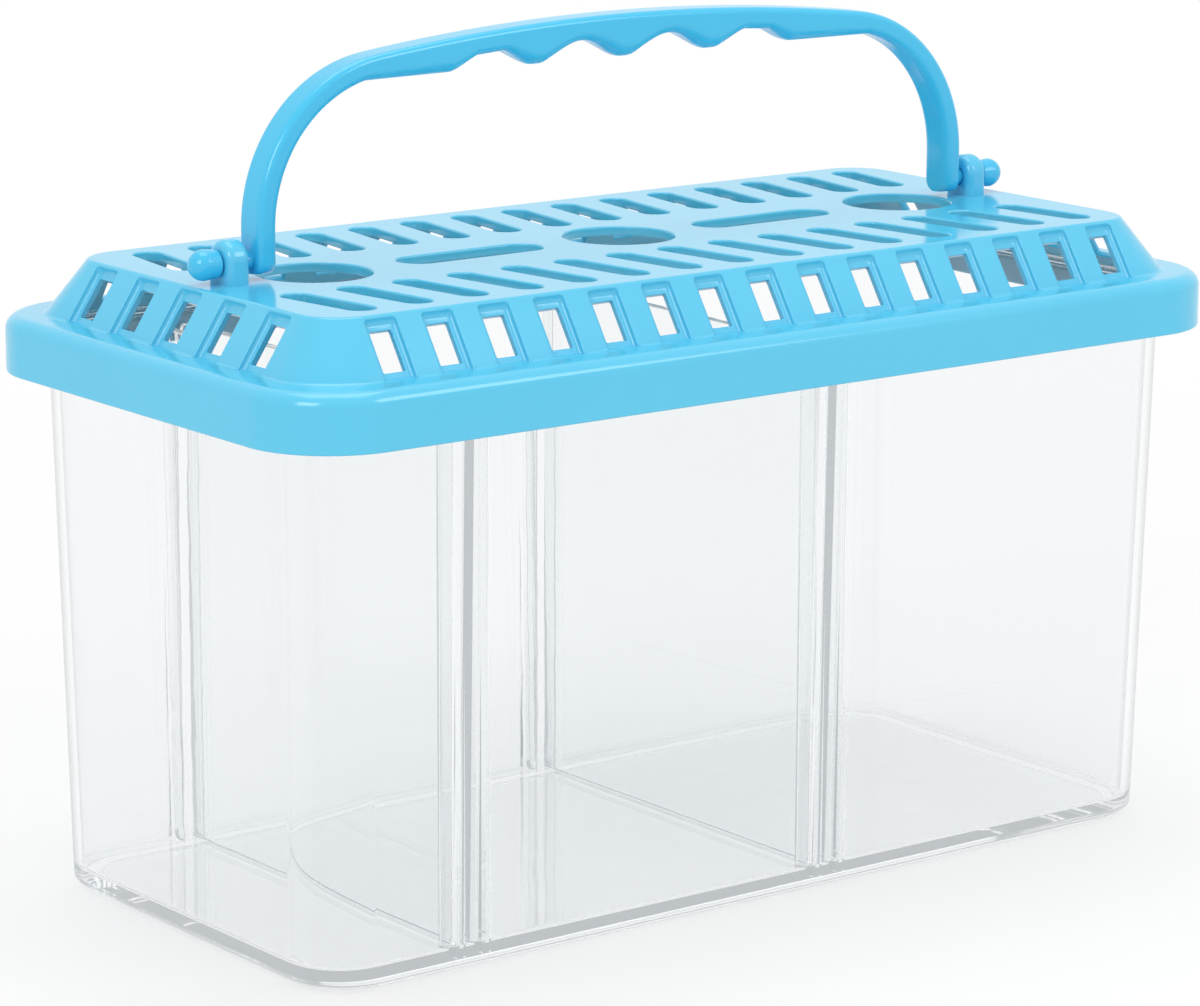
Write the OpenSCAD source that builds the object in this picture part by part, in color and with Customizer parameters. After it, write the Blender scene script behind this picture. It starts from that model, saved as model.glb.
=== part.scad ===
/* [Lid] */
// Length of the lid over its skirt
lid_length = 240; // [200:1:300]
// Width of the lid over its skirt
lid_width = 122; // [110:1:150]
// Plan radius of the skirt's corners
lid_corner_r = 19; // [12:0.5:24]
// Wall of the lid's skirt, ledge and top plate
lid_wall = 2; // [1.6:0.1:2.4]
// Height of the skirt, up to the top of the ledge
skirt_height = 11.8; // [10:0.2:16]
// Rounding between the skirt and the ledge
skirt_round = 3; // [1.5:0.1:3.5]
// How far the foot of the sloping side lies inside the skirt
ledge_width = 7.5; // [6.5:0.1:9]
// Height of the sloping side above the ledge
slope_rise = 11.4; // [10.8:0.1:15]
// How far the sloping side runs in, seen from above
slope_run = 7.6; // [6.8:0.1:9]
// Wall of the sloping side, square to it
slope_wall = 2.6; // [2.4:0.1:3]
// Plan radius of the corners at the foot of the sloping side
slope_corner_r = 13; // [11:0.5:15]
// Plan radius of the top plate's corners
plate_corner_r = 9; // [6:0.5:11]

/* [Lid openings] */
// Diameter of the three round feed holes
feed_hole_d = 23.5; // [18:0.5:26]
// Distance of the outer feed holes from the ends of the top plate
feed_hole_end = 28.5; // [26:0.5:34]
// Width of the two slots on the centre line
long_slot_width = 9.5; // [6:0.5:14]
// Plate left between a slot on the centre line and the feed hole beside it
long_slot_bridge = 9; // [6:0.5:11]
// Distance from one leaning slot to the next, and from one long side window to the next
slot_pitch = 13.25; // [12:0.05:15]
// Width of a leaning slot
slot_width = 6.2; // [4.5:0.1:6.8]
// Lean of a slot away from square to the centre line
slot_lean = 8; // [0:1:14]
// Plate left between the feed holes and the leaning slots
slot_inner_margin = 5; // [3:0.1:8]
// Plate left between the leaning slots and the edge of the plate
slot_outer_margin = 4.8; // [3:0.1:8]
// Width of a window in the long sides
long_window_width = 5; // [4:0.1:5.6]
// Width of the sunk pocket round a window in the long sides
long_pocket_width = 7.4; // [6:0.1:8]
// Distance from one end window to the next
end_window_pitch = 15.6; // [12:0.1:18]
// Width of a window in the end slopes
end_window_width = 5.5; // [4:0.1:6.2]
// Width of the sunk pocket round a window in the end slopes
end_pocket_width = 8; // [7:0.1:9]
// Depth of a pocket, square to the slope
pocket_depth = 1.2; // [0.6:0.1:1.4]
// Plain strip left above and below the pockets
pocket_margin = 0.7; // [0.4:0.1:1.2]
// Height of a window's lower edge above the foot of the slope
window_foot = 2.1; // [1.4:0.1:2.8]
// Distance of a window's upper edge below the head of the slope
window_head = 2.9; // [2.4:0.1:3.6]

/* [Handle] */
// Height of the handle's crown above the top plate
handle_height = 46.8; // [44:0.2:60]
// Thickness of the handle, in its own plane
handle_thick = 4.6; // [4:0.1:5]
// Width of the handle, across its own plane
handle_width = 7.6; // [6.4:0.1:7.6]
// Outer radius of the bend from arm to crown
bend_r = 33; // [28:0.5:34]
// Radius of the crown's gentle arch
crown_r = 500; // [460:5:700]
// Depth of the grip below the crown's top, at its flats
grip_depth = 9.1; // [8.4:0.1:9.4]
// Distance from one finger groove to the next
groove_pitch = 22.7; // [20:0.1:24]
// Width of a finger groove
groove_width = 17.5; // [14:0.5:19]
// Depth of a finger groove
groove_depth = 4.1; // [1:0.1:4.3]

/* [Handle pivots] */
// Distance from the end of the top plate to the ear
ear_end = 5.8; // [4:0.1:12]
// Space between an ear and the handle's arm
ear_gap = 2.1; // [0.5:0.1:5]
// Height of the pivot axis above the top plate
pivot_height = 4.1; // [4.1:0.1:4.6]
// Diameter of a pivot pin
pin_d = 3.6; // [2.6:0.1:3.8]
// Diameter of the ball that keeps a pin in its ear
ball_d = 6.2; // [5:0.1:6.8]
// Thickness of an ear along the pivot axis
ear_thick = 5.2; // [4:0.1:5.6]
// Width of an ear
ear_width = 8.4; // [7.6:0.1:9]
// Height of an ear above the top plate
ear_height = 8.7; // [8.4:0.1:10]
// How far an arm runs on below the pivot axis
arm_foot = 2.8; // [2.2:0.1:2.9]
// Rounding of an arm's foot, so that it clears the plate as it swings
arm_foot_r = 2.4; // [2:0.1:2.6]

/* [Tank] */
// Height of the tank, from its foot ring to its rim
tank_height = 118.8; // [90:0.2:150]
// Wall of the tank
tank_wall = 2; // [1.6:0.1:2.4]
// Thickness of the tank's floor
tank_floor = 3.6; // [2.6:0.1:4.4]
// How far the tank's outer wall lies inside the lid's outer face, at the rim
tank_inset = 8; // [7.6:0.1:9]
// How much each wall leans in towards the floor
tank_draft = 2.2; // [1:0.1:3]
// Plan radius of the tank's corners
tank_corner_r = 12.5; // [8:0.5:15]
// Rounding of the tank's lower edge
base_round = 2.5; // [1.5:0.1:3.5]
// Thickness of the flange round the rim
rim_thick = 2; // [1.5:0.1:2.6]
// Height of the foot ring under the floor
foot_height = 0.8; // [0.5:0.1:1.5]
// Width of the foot ring
foot_width = 3.2; // [2:0.1:8]

/* [Dividers] */
// Length of the left compartment at the floor, to the middle of its divider
left_bay = 32.5; // [22:0.5:60]
// Length of the right compartment at the floor, to the middle of its divider
right_bay = 92.1; // [40:0.5:110]
// Thickness of a divider
divider_thick = 2.3; // [1.8:0.1:2.6]
// Width of each moulded guide rib
rib_width = 2.3; // [1.8:0.1:3]
// How far a guide rib stands in from the wall, at the floor
rib_depth = 4; // [3:0.1:6]
// How far the top of the ribs lies below the rim
rib_drop = 5; // [4:0.5:12]
// How far the top of the dividers lies below the rim
divider_drop = 4; // [4:0.5:20]

/* [Fits] */
// Clearance between a pin and its ear, on the radius
pin_clearance = 0.08; // [0.05:0.01:0.1]
// Space between a ball and its ear
ball_clearance = 0.4; // [0.3:0.1:0.6]
// Space between the lid's ledge and the tank's rim
seat_clearance = 0.2; // [0.15:0.05:0.3]
// Space between the lid's skirt and the rim's flange
skirt_clearance = 0.6; // [0.4:0.1:1]
// Space between a divider and each of its guide ribs
guide_clearance = 0.8; // [0.4:0.1:1]
// Space between a divider and the tank's walls and floor
divider_clearance = 0.3; // [0.2:0.05:0.6]

/* [Hidden] */

clear_plastic = [0.90, 0.94, 0.96, 0.35];
lid_blue = [0.36, 0.77, 0.94];
handle_blue = [0.31, 0.73, 0.92];

round_fn = 64;
corner_fn = 32;
crown_steps = 42;
bend_steps = 16;
skirt_turn = 22.5;    // step round the skirt's upper edge, in degrees
base_turn = 30;       // step round the tank's lower edge, in degrees
feed_holes = 3;
groove_count = 4;
slab = 0.02;          // thin slice that hull() joins
cut = 1;              // how far a cut runs past a face

lid_x = lid_length / 2;
lid_y = lid_width / 2;
skirt_z = tank_height - skirt_height + lid_wall + seat_clearance;
ledge_z = skirt_z + skirt_height;
plate_z = ledge_z + slope_rise;
plate_inset = ledge_width + slope_run;
plate_x = lid_x - plate_inset;
plate_y = lid_y - plate_inset;
slope_angle = atan2(slope_rise, slope_run);
slope_length = norm([slope_rise, slope_run]);
window_length = slope_length - window_foot - window_head;

feed_hole_pitch = plate_x - feed_hole_end;
long_slot_length = feed_hole_pitch - feed_hole_d - 2 * long_slot_bridge;
slot_row_in = feed_hole_d / 2 + slot_inner_margin;
slot_row_out = plate_y - slot_outer_margin;
slot_length = (slot_row_out - slot_row_in - slot_width) / cos(slot_lean) + slot_width;

tank_x = lid_x - tank_inset;
tank_y = lid_y - tank_inset;
floor_z = foot_height + tank_floor;
flange_out = tank_inset - lid_wall - skirt_clearance;
base_x = tank_x - tank_draft - tank_wall;
base_y = tank_y - tank_draft - tank_wall;
left_divider_x = left_bay - base_x;
right_divider_x = base_x - right_bay;

pivot_z = plate_z + pivot_height;
crown_z = plate_z + handle_height;
ear_x = plate_x - ear_end - ear_thick;
ball_x = ear_x + ear_thick + ball_clearance + ball_d / 2;
arm_x = ear_x - ear_gap;
crown_cz = crown_z - crown_r;
// The bend touches the crown from inside and the arm's outer face
bend_x = arm_x - bend_r;
bend_z = crown_cz + sqrt(pow(crown_r - bend_r, 2) - pow(bend_x, 2));
// Angle from upright at which the crown turns into the bend
seam_angle = asin(bend_x / (crown_r - bend_r));
grip_z = crown_z - grip_depth;
foot_z = pivot_z - arm_foot;

// Plain rectangle with round corners, centred on the origin
module rounded_plan(half_x, half_y, r) {
    square([2 * half_x, 2 * (half_y - r)], center = true);
    square([2 * (half_x - r), 2 * half_y], center = true);
    for (x = [-1, 1], y = [-1, 1])
        translate([x * (half_x - r), y * (half_y - r)])
            circle(r, $fn = corner_fn);
}

// Thin slice of a rounded box, inset from the given half sizes
module slice(z, half_x, half_y, r, inset) {
    translate([0, 0, z])
        linear_extrude(slab)
            rounded_plan(half_x - inset, half_y - inset, r);
}

// Slot with round ends, along X
module slot_plan(length, width) {
    square([length - width, width], center = true);
    for (x = [-1, 1])
        translate([x * (length - width) / 2, 0])
            circle(d = width, $fn = round_fn);
}

// Centres of a row of copies spread evenly about zero
function spread(count, pitch) = [for (i = [0 : count - 1]) (i - (count - 1) / 2) * pitch];

// Odd number of copies between the round corners of a side of the top plate
function row_count(half, pitch) = 2 * floor((half - plate_corner_r) / pitch) + 1;

// Puts its children on a sloping side: X along it, Y up it, Z out of it
module on_slope(turn, half) {
    rotate([0, 0, turn])
        translate([0, ledge_width - half, ledge_z])
            rotate([slope_angle, 0, 0])
                children();
}

// Pockets and windows of one sloping side
module slope_openings(count, pitch, window_width, pocket_width) {
    for (x = spread(count, pitch)) {
        translate([x - pocket_width / 2, pocket_margin, -pocket_depth])
            cube([pocket_width, slope_length - 2 * pocket_margin, pocket_depth + cut]);
        translate([x - window_width / 2, window_foot, -slope_wall - cut])
            cube([window_width, window_length, slope_wall + cut]);
    }
}

module all_slope_openings() {
    for (turn = [0, 180])
        on_slope(turn, lid_y)
            slope_openings(row_count(plate_x, slot_pitch), slot_pitch,
                           long_window_width, long_pocket_width);
    for (turn = [90, -90])
        on_slope(turn, lid_x)
            slope_openings(row_count(plate_y, end_window_pitch), end_window_pitch,
                           end_window_width, end_pocket_width);
}

// Feed holes, long slots and leaning slots of the top plate
module plate_openings() {
    translate([0, 0, plate_z - lid_wall - cut])
        linear_extrude(lid_wall + 2 * cut) {
            for (x = spread(feed_holes, feed_hole_pitch))
                translate([x, 0])
                    circle(d = feed_hole_d, $fn = round_fn);
            for (side = [-1, 1])
                translate([side * feed_hole_pitch / 2, 0])
                    slot_plan(long_slot_length, long_slot_width);
            for (x = spread(row_count(plate_x, slot_pitch), slot_pitch), side = [-1, 1])
                translate([x, side * (slot_row_in + slot_row_out) / 2])
                    rotate(90 - side * slot_lean)
                        slot_plan(slot_length, slot_width);
        }
}

// Outside of the skirt, with its rounded upper edge
module skirt_block() {
    hull() {
        slice(skirt_z, lid_x, lid_y, lid_corner_r, 0);
        for (a = [0 : skirt_turn : 90])
            slice(ledge_z - slab - skirt_round * (1 - sin(a)), lid_x, lid_y,
                  lid_corner_r, skirt_round * (1 - cos(a)));
    }
}

// Outside of the sloping sides and the top plate
module slope_block() {
    hull() {
        slice(ledge_z - slab, lid_x, lid_y, slope_corner_r, ledge_width);
        slice(plate_z - slab, lid_x, lid_y, plate_corner_r, plate_inset);
    }
}

// Room inside the skirt, under the ledge
module skirt_room() {
    hull() {
        slice(skirt_z - cut, lid_x, lid_y, lid_corner_r - lid_wall, lid_wall);
        slice(ledge_z - lid_wall - slab, lid_x, lid_y, lid_corner_r - lid_wall, lid_wall);
    }
}

// Room inside the sloping sides, under the top plate
module slope_room() {
    shift = slope_wall / sin(slope_angle);
    lower = ledge_width + shift - lid_wall / tan(slope_angle);
    upper = ledge_width + shift + (slope_rise - lid_wall) / tan(slope_angle);
    hull() {
        slice(ledge_z - lid_wall - slab, lid_x, lid_y, slope_corner_r - slope_wall, lower);
        slice(plate_z - lid_wall - slab, lid_x, lid_y, plate_corner_r - slope_wall, upper);
    }
}

// Ear that carries a handle pin, standing on the top plate
module ear() {
    translate([ear_x, 0, 0])
        rotate([90, 0, 90])
            linear_extrude(ear_thick)
                difference() {
                    union() {
                        translate([-ear_width / 2, plate_z - lid_wall / 2])
                            square([ear_width, ear_height - ear_width / 2 + lid_wall / 2]);
                        translate([0, plate_z + ear_height - ear_width / 2])
                            circle(d = ear_width, $fn = round_fn);
                    }
                    translate([0, pivot_z])
                        circle(d = pin_d + 2 * pin_clearance, $fn = round_fn);
                }
}

module lid() {
    color(lid_blue) {
        difference() {
            union() {
                skirt_block();
                slope_block();
            }
            skirt_room();
            slope_room();
            plate_openings();
            all_slope_openings();
        }
        for (side = [0, 1])
            mirror([side, 0, 0])
                ear();
    }
}

// Rise of the grip's lower edge at x: nothing on the flats, and four finger grooves
function groove_rise(x) =
    let (off = min([for (c = spread(groove_count, groove_pitch)) abs(x - c)]))
    off < groove_width / 2 ? groove_depth * pow(cos(180 * off / groove_width), 2) : 0;

// Half of one edge of the bow, from its middle to its arm, at a depth below the outer face
function bow_edge(depth) = concat(
    [for (i = [0 : crown_steps - 1])
        let (x = (crown_r - depth) * sin(seam_angle) * i / crown_steps)
        [x, crown_cz + sqrt(pow(crown_r - depth, 2) - x * x)]],
    [for (i = [0 : bend_steps])
        let (a = seam_angle + (90 - seam_angle) * i / bend_steps)
        [bend_x + (bend_r - depth) * sin(a), bend_z + (bend_r - depth) * cos(a)]]);

// Half of the handle, seen from the front: bow, thickened grip and arm
module front_plan() {
    outer = bow_edge(0);
    inner = bow_edge(handle_thick);
    polygon(concat(outer, [[arm_x, foot_z - cut], [arm_x - handle_thick, foot_z - cut]],
        [for (i = [len(inner) - 1 : -1 : 0])
            [inner[i][0], min(inner[i][1], grip_z + groove_rise(inner[i][0]))]]));
}

// The handle seen from the side, with the round-cornered foot of its arms
module side_plan() {
    translate([-handle_width / 2, foot_z + arm_foot_r])
        square([handle_width, crown_z + cut - foot_z - arm_foot_r]);
    translate([arm_foot_r - handle_width / 2, foot_z])
        square([handle_width - 2 * arm_foot_r, arm_foot_r + slab]);
    for (side = [-1, 1])
        translate([side * (handle_width / 2 - arm_foot_r), foot_z + arm_foot_r])
            circle(arm_foot_r, $fn = round_fn);
}

// Bow, grip and arms
module bow() {
    intersection() {
        rotate([90, 0, 0])
            linear_extrude(handle_width + 2 * cut, center = true) {
                front_plan();
                mirror([1, 0])
                    front_plan();
            }
        rotate([90, 0, 90])
            linear_extrude(2 * (arm_x + cut), center = true)
                side_plan();
    }
}

// Pivot pin with the ball that snaps through the ear
module pin() {
    translate([arm_x - handle_thick / 2, 0, pivot_z])
        rotate([0, 90, 0])
            cylinder(h = ball_x - arm_x + handle_thick / 2, d = pin_d, $fn = round_fn);
    translate([ball_x, 0, pivot_z])
        sphere(d = ball_d, $fn = round_fn);
}

module handle() {
    color(handle_blue) {
        bow();
        for (side = [0, 1])
            mirror([side, 0, 0])
                pin();
    }
}

// Outside of the tank, with its rounded lower edge
module tank_block() {
    hull() {
        slice(tank_height - slab, tank_x, tank_y, tank_corner_r, 0);
        for (a = [0 : base_turn : 90])
            slice(foot_height + base_round * (1 - cos(a)), tank_x, tank_y, tank_corner_r,
                  tank_draft + base_round * (1 - sin(a)));
    }
}

// Room inside the tank's walls
module tank_room() {
    hull() {
        slice(tank_height + cut, tank_x, tank_y, tank_corner_r - tank_wall, tank_wall);
        slice(floor_z, tank_x, tank_y, tank_corner_r - tank_wall, tank_wall + tank_draft);
    }
}

// Pairs of guide ribs on the front and rear walls for one divider
module guide_ribs(x) {
    slot = divider_thick + 2 * guide_clearance;
    reach = tank_draft + tank_wall + cut;
    for (side = [-1, 1], face = [-1, 1])
        translate([x + side * (slot + rib_width) / 2 - rib_width / 2,
                   face > 0 ? base_y - rib_depth : -base_y - reach, floor_z - cut])
            cube([rib_width, rib_depth + reach, tank_height - rib_drop - floor_z + cut]);
}

// Flange round the rim, which carries the lid
module rim() {
    translate([0, 0, tank_height - rim_thick])
        linear_extrude(rim_thick)
            difference() {
                rounded_plan(tank_x + flange_out, tank_y + flange_out, tank_corner_r + flange_out);
                rounded_plan(tank_x - tank_wall / 2, tank_y - tank_wall / 2,
                             tank_corner_r - tank_wall / 2);
            }
}

// Low ring under the floor, which the tank stands on
module foot_ring() {
    foot_x = tank_x - tank_draft - base_round;
    foot_y = tank_y - tank_draft - base_round;
    linear_extrude(foot_height + tank_floor / 2)
        difference() {
            rounded_plan(foot_x, foot_y, tank_corner_r);
            rounded_plan(foot_x - foot_width, foot_y - foot_width, tank_corner_r - foot_width);
        }
}

module tank() {
    color(clear_plastic) {
        difference() {
            tank_block();
            difference() {
                tank_room();
                guide_ribs(left_divider_x);
                guide_ribs(right_divider_x);
            }
        }
        rim();
        foot_ring();
    }
}

// Clear plate that drops between the guide ribs and widens with the tank
module divider(x) {
    foot = floor_z + divider_clearance;
    top = tank_height - divider_drop;
    lean = tank_draft / (tank_height - floor_z);
    foot_half = base_y - divider_clearance;
    top_half = foot_half + lean * (top - foot);
    translate([x - divider_thick / 2, 0, 0])
        rotate([90, 0, 90])
            linear_extrude(divider_thick)
                polygon([[-foot_half, foot], [foot_half, foot],
                         [top_half, top], [-top_half, top]]);
}

module left_divider() {
    color(clear_plastic)
        divider(left_divider_x);
}

module right_divider() {
    color(clear_plastic)
        divider(right_divider_x);
}

tank();
left_divider();
right_divider();
lid();
handle();
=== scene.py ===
import math

import bmesh
import bpy
import numpy as np
from mathutils import Matrix, Vector


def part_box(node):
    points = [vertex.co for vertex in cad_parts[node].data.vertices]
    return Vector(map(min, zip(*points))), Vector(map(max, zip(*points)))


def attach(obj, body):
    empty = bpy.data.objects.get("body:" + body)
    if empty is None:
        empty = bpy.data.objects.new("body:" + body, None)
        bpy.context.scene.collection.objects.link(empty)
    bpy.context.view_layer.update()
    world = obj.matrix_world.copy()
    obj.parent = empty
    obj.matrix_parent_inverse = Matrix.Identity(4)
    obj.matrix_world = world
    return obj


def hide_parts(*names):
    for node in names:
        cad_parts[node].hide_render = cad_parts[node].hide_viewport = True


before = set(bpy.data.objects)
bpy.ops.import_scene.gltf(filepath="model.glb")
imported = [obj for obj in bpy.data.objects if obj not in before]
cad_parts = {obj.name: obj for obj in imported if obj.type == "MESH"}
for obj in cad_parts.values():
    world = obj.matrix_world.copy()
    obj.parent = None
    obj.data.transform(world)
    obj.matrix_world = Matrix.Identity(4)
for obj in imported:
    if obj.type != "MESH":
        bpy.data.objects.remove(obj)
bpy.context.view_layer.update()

mm = 0.001

# ---------------------------------------------------------------------------------------
# Camera, at the photograph's viewing angle: from the front and to the left, a little above
# the lid. It was fitted to the straight edges and the windows of the box.
# ---------------------------------------------------------------------------------------
camera_azimuth = math.radians(-37.36)
camera_elevation = math.radians(12.59)
camera_roll = math.radians(0.18)
camera_distance = 1.0445
camera_aim = Vector((0.0212, 0.0339, 0.0663))
camera_lens = 142.57
sensor_width = 36.0

backward = Vector((math.sin(camera_azimuth) * math.cos(camera_elevation),
                   -math.cos(camera_azimuth) * math.cos(camera_elevation),
                   math.sin(camera_elevation)))
level_right = Vector((math.cos(camera_azimuth), math.sin(camera_azimuth), 0))
level_up = backward.cross(level_right)
right = level_right * math.cos(camera_roll) + level_up * math.sin(camera_roll)
up = level_up * math.cos(camera_roll) - level_right * math.sin(camera_roll)
camera_data = bpy.data.cameras.new("camera")
camera_data.lens = camera_lens
camera_data.sensor_width = sensor_width
camera_data.clip_end = 20
camera = bpy.data.objects.new("camera", camera_data)
camera.matrix_world = (Matrix.Translation(camera_aim + backward * camera_distance)
                       @ Matrix((right, up, backward)).transposed().to_4x4())
bpy.context.scene.collection.objects.link(camera)
bpy.context.scene.camera = camera

# ---------------------------------------------------------------------------------------
# Lid: one moulding in glossy sky-blue plastic. A skirt fits round the rim of the tank, a
# ledge rests on it, and sloping sides carry the top plate. Its shell is one closed loft,
# and the slots, holes, pockets and windows are cut out of it with rounded edges.
# ---------------------------------------------------------------------------------------
lid_low, lid_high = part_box("lid")
lid_x = lid_high.x
lid_y = lid_high.y
skirt_z = lid_low.z
skirt_height = 11.8 * mm
lid_wall = 2 * mm
ledge_z = skirt_z + skirt_height
slope_rise = 11.4 * mm
slope_run = 7.6 * mm
slope_wall = 2.6 * mm
ledge_width = 7.5 * mm
plate_z = ledge_z + slope_rise
plate_inset = ledge_width + slope_run
plate_x = lid_x - plate_inset
plate_y = lid_y - plate_inset
slope_angle = math.atan2(slope_rise, slope_run)
slope_length = math.hypot(slope_rise, slope_run)


def rounded_path(corners, steps=6):
    """Turns (x, y, radius) corners into the points of a path with its corners rounded."""
    points = [Vector(corners[0][:2])]
    for before, here, after in zip(corners, corners[1:], corners[2:]):
        corner, radius = Vector(here[:2]), here[2]
        to_before = (Vector(before[:2]) - corner).normalized()
        to_after = (Vector(after[:2]) - corner).normalized()
        half = to_before.angle(to_after) / 2
        centre = corner + (to_before + to_after).normalized() * radius / math.sin(half)
        first = math.atan2(*(corner + to_before * radius / math.tan(half) - centre).yx)
        last = math.atan2(*(corner + to_after * radius / math.tan(half) - centre).yx)
        sweep = (last - first + math.pi) % (2 * math.pi) - math.pi
        points += [centre + radius * Vector((math.cos(turn), math.sin(turn)))
                   for turn in np.linspace(first, first + sweep, steps + 1)]
    points.append(Vector(corners[-1][:2]))
    return points


def rounded_ring(half_x, half_y, radius, z, steps=12):
    """Points round a rectangle with round corners, at one height."""
    return [(sx * (half_x - radius) + radius * math.cos(turn),
             sy * (half_y - radius) + radius * math.sin(turn), z)
            for quarter, (sx, sy) in enumerate([(1, 1), (-1, 1), (-1, -1), (1, -1)])
            for turn in np.radians(90 * quarter + np.linspace(0, 90, steps + 1))]


def loft(name, rings):
    """A closed skin through rings of equally many points, with a face over each end."""
    shape = bmesh.new()
    rows = [[shape.verts.new(point) for point in ring] for ring in rings]
    count = len(rows[0])
    for row, next_row in zip(rows, rows[1:]):
        for i in range(count):
            j = (i + 1) % count
            shape.faces.new((row[i], row[j], next_row[j], next_row[i]))
    shape.faces.new(rows[0])
    shape.faces.new(rows[-1])
    return as_object(name, shape)


merge_distance = 1e-6
shortest_edge = 1e-7


def as_object(name, shape):
    """Merges a shape's doubles, turns its faces outward and links it as an object."""
    bmesh.ops.remove_doubles(shape, verts=shape.verts, dist=merge_distance)
    bmesh.ops.dissolve_degenerate(shape, edges=shape.edges, dist=shortest_edge)
    bmesh.ops.recalc_face_normals(shape, faces=shape.faces)
    mesh = bpy.data.meshes.new(name)
    shape.to_mesh(mesh)
    shape.free()
    made = bpy.data.objects.new(name, mesh)
    bpy.context.scene.collection.objects.link(made)
    return made


def plain(name, source):
    """A plain mesh object of what source shows with its modifiers, in place of source."""
    evaluated = source.evaluated_get(bpy.context.evaluated_depsgraph_get())
    mesh = bpy.data.meshes.new_from_object(evaluated)
    bpy.data.objects.remove(source)
    mesh.name = name
    made = bpy.data.objects.new(name, mesh)
    bpy.context.scene.collection.objects.link(made)
    return made


def join(name, parts):
    """One object that holds the meshes of several."""
    shape = bmesh.new()
    for part in parts:
        shape.from_mesh(part.data)
        bpy.data.objects.remove(part)
    return as_object(name, shape)


def combine(body, tool, operation):
    """Cuts tool out of body, or adds it, and removes tool."""
    name = body.name
    modifier = body.modifiers.new("combine", "BOOLEAN")
    modifier.operation = operation
    modifier.solver = "EXACT"
    modifier.object = tool
    done = plain(name, body)
    bpy.data.objects.remove(tool)
    return done


def repeat_tree():
    """Geometry Nodes that repeat the object's own shape in a row along X."""
    tree = bpy.data.node_groups.new("row_of_openings", "GeometryNodeTree")
    face = tree.interface
    face.new_socket("Geometry", in_out="INPUT", socket_type="NodeSocketGeometry")
    face.new_socket("Count", in_out="INPUT", socket_type="NodeSocketInt")
    face.new_socket("Pitch", in_out="INPUT", socket_type="NodeSocketFloat")
    face.new_socket("Lean", in_out="INPUT", socket_type="NodeSocketFloat")
    face.new_socket("Material", in_out="INPUT", socket_type="NodeSocketMaterial")
    face.new_socket("Geometry", in_out="OUTPUT", socket_type="NodeSocketGeometry")
    nodes, links = tree.nodes, tree.links
    given = nodes.new("NodeGroupInput")
    result = nodes.new("NodeGroupOutput")
    less_one = nodes.new("ShaderNodeMath")
    less_one.operation = "SUBTRACT"
    less_one.inputs[1].default_value = 1
    links.new(given.outputs["Count"], less_one.inputs[0])
    half_row = nodes.new("ShaderNodeMath")
    half_row.operation = "MULTIPLY"
    links.new(less_one.outputs[0], half_row.inputs[0])
    links.new(given.outputs["Pitch"], half_row.inputs[1])
    first = nodes.new("ShaderNodeMath")
    first.operation = "MULTIPLY"
    first.inputs[1].default_value = -0.5
    links.new(half_row.outputs[0], first.inputs[0])
    start = nodes.new("ShaderNodeCombineXYZ")
    links.new(first.outputs[0], start.inputs["X"])
    step = nodes.new("ShaderNodeCombineXYZ")
    links.new(given.outputs["Pitch"], step.inputs["X"])
    line = nodes.new("GeometryNodeMeshLine")
    links.new(given.outputs["Count"], line.inputs["Count"])
    links.new(start.outputs[0], line.inputs["Start Location"])
    links.new(step.outputs[0], line.inputs["Offset"])
    turned = nodes.new("ShaderNodeCombineXYZ")
    links.new(given.outputs["Lean"], turned.inputs["Z"])
    place = nodes.new("GeometryNodeInstanceOnPoints")
    links.new(line.outputs["Mesh"], place.inputs["Points"])
    links.new(given.outputs["Geometry"], place.inputs["Instance"])
    links.new(turned.outputs[0], place.inputs["Rotation"])
    real = nodes.new("GeometryNodeRealizeInstances")
    links.new(place.outputs["Instances"], real.inputs["Geometry"])
    paint = nodes.new("GeometryNodeSetMaterial")
    links.new(real.outputs["Geometry"], paint.inputs["Geometry"])
    links.new(given.outputs["Material"], paint.inputs["Material"])
    links.new(paint.outputs["Geometry"], result.inputs["Geometry"])
    return tree


row_tree = repeat_tree()


def row_of(shape, count, pitch, place=Matrix(), lean=0.0, material=None):
    """A plain mesh of count copies of shape in a row along X, then moved by place."""
    modifier = shape.modifiers.new("row", "NODES")
    modifier.node_group = row_tree
    values = {"Count": count, "Pitch": pitch, "Lean": lean, "Material": material}
    for socket in row_tree.interface.items_tree:
        if socket.in_out == "INPUT" and socket.name in values:
            modifier[socket.identifier] = values[socket.name]
    row = plain(shape.name, shape)
    row.data.transform(place)
    return row


def slot_outline(length, width, grow, steps=10):
    """Points round a slot with half-round ends along Y, grown by grow."""
    radius = width / 2 + grow
    return [(radius * math.cos(turn), side * (length - width) / 2 + radius * math.sin(turn))
            for side, first in ((1, 0), (-1, 180))
            for turn in np.radians(first + np.linspace(0, 180, 2 * steps + 1))]


def box_outline(width, length, corner, grow):
    """Points round a rectangle with round corners, grown by grow."""
    ring = rounded_ring(width / 2 + grow, length / 2 + grow, corner + grow, 0, steps=4)
    return [point[:2] for point in ring]


# How far a plug stands past the faces it cuts, where its rounding starts, and how much it
# widens above its upper edge and below its lower one
cut_past = 1 * mm
lip_start = 0.03 * mm
lip_turns = np.radians([14, 30, 50, 70, 90])
entry_flare = 0.2 * mm
exit_bevel = 0.3 * mm
exit_flare = 0.2 * mm


def cutter(name, outline, surface, floor, lip):
    """A plug for a hole from surface down through floor, its upper edge rounded by lip."""
    levels = [(surface + cut_past, lip + entry_flare), (surface + lip_start, lip)]
    levels += [(surface - lip + lip * math.cos(turn), lip - lip * math.sin(turn))
               for turn in lip_turns]
    levels += [(floor + exit_bevel, 0), (floor, exit_flare), (floor - cut_past, exit_bevel)]
    return loft(name, [[(*point, z) for point in outline(grow)] for z, grow in levels])


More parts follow.
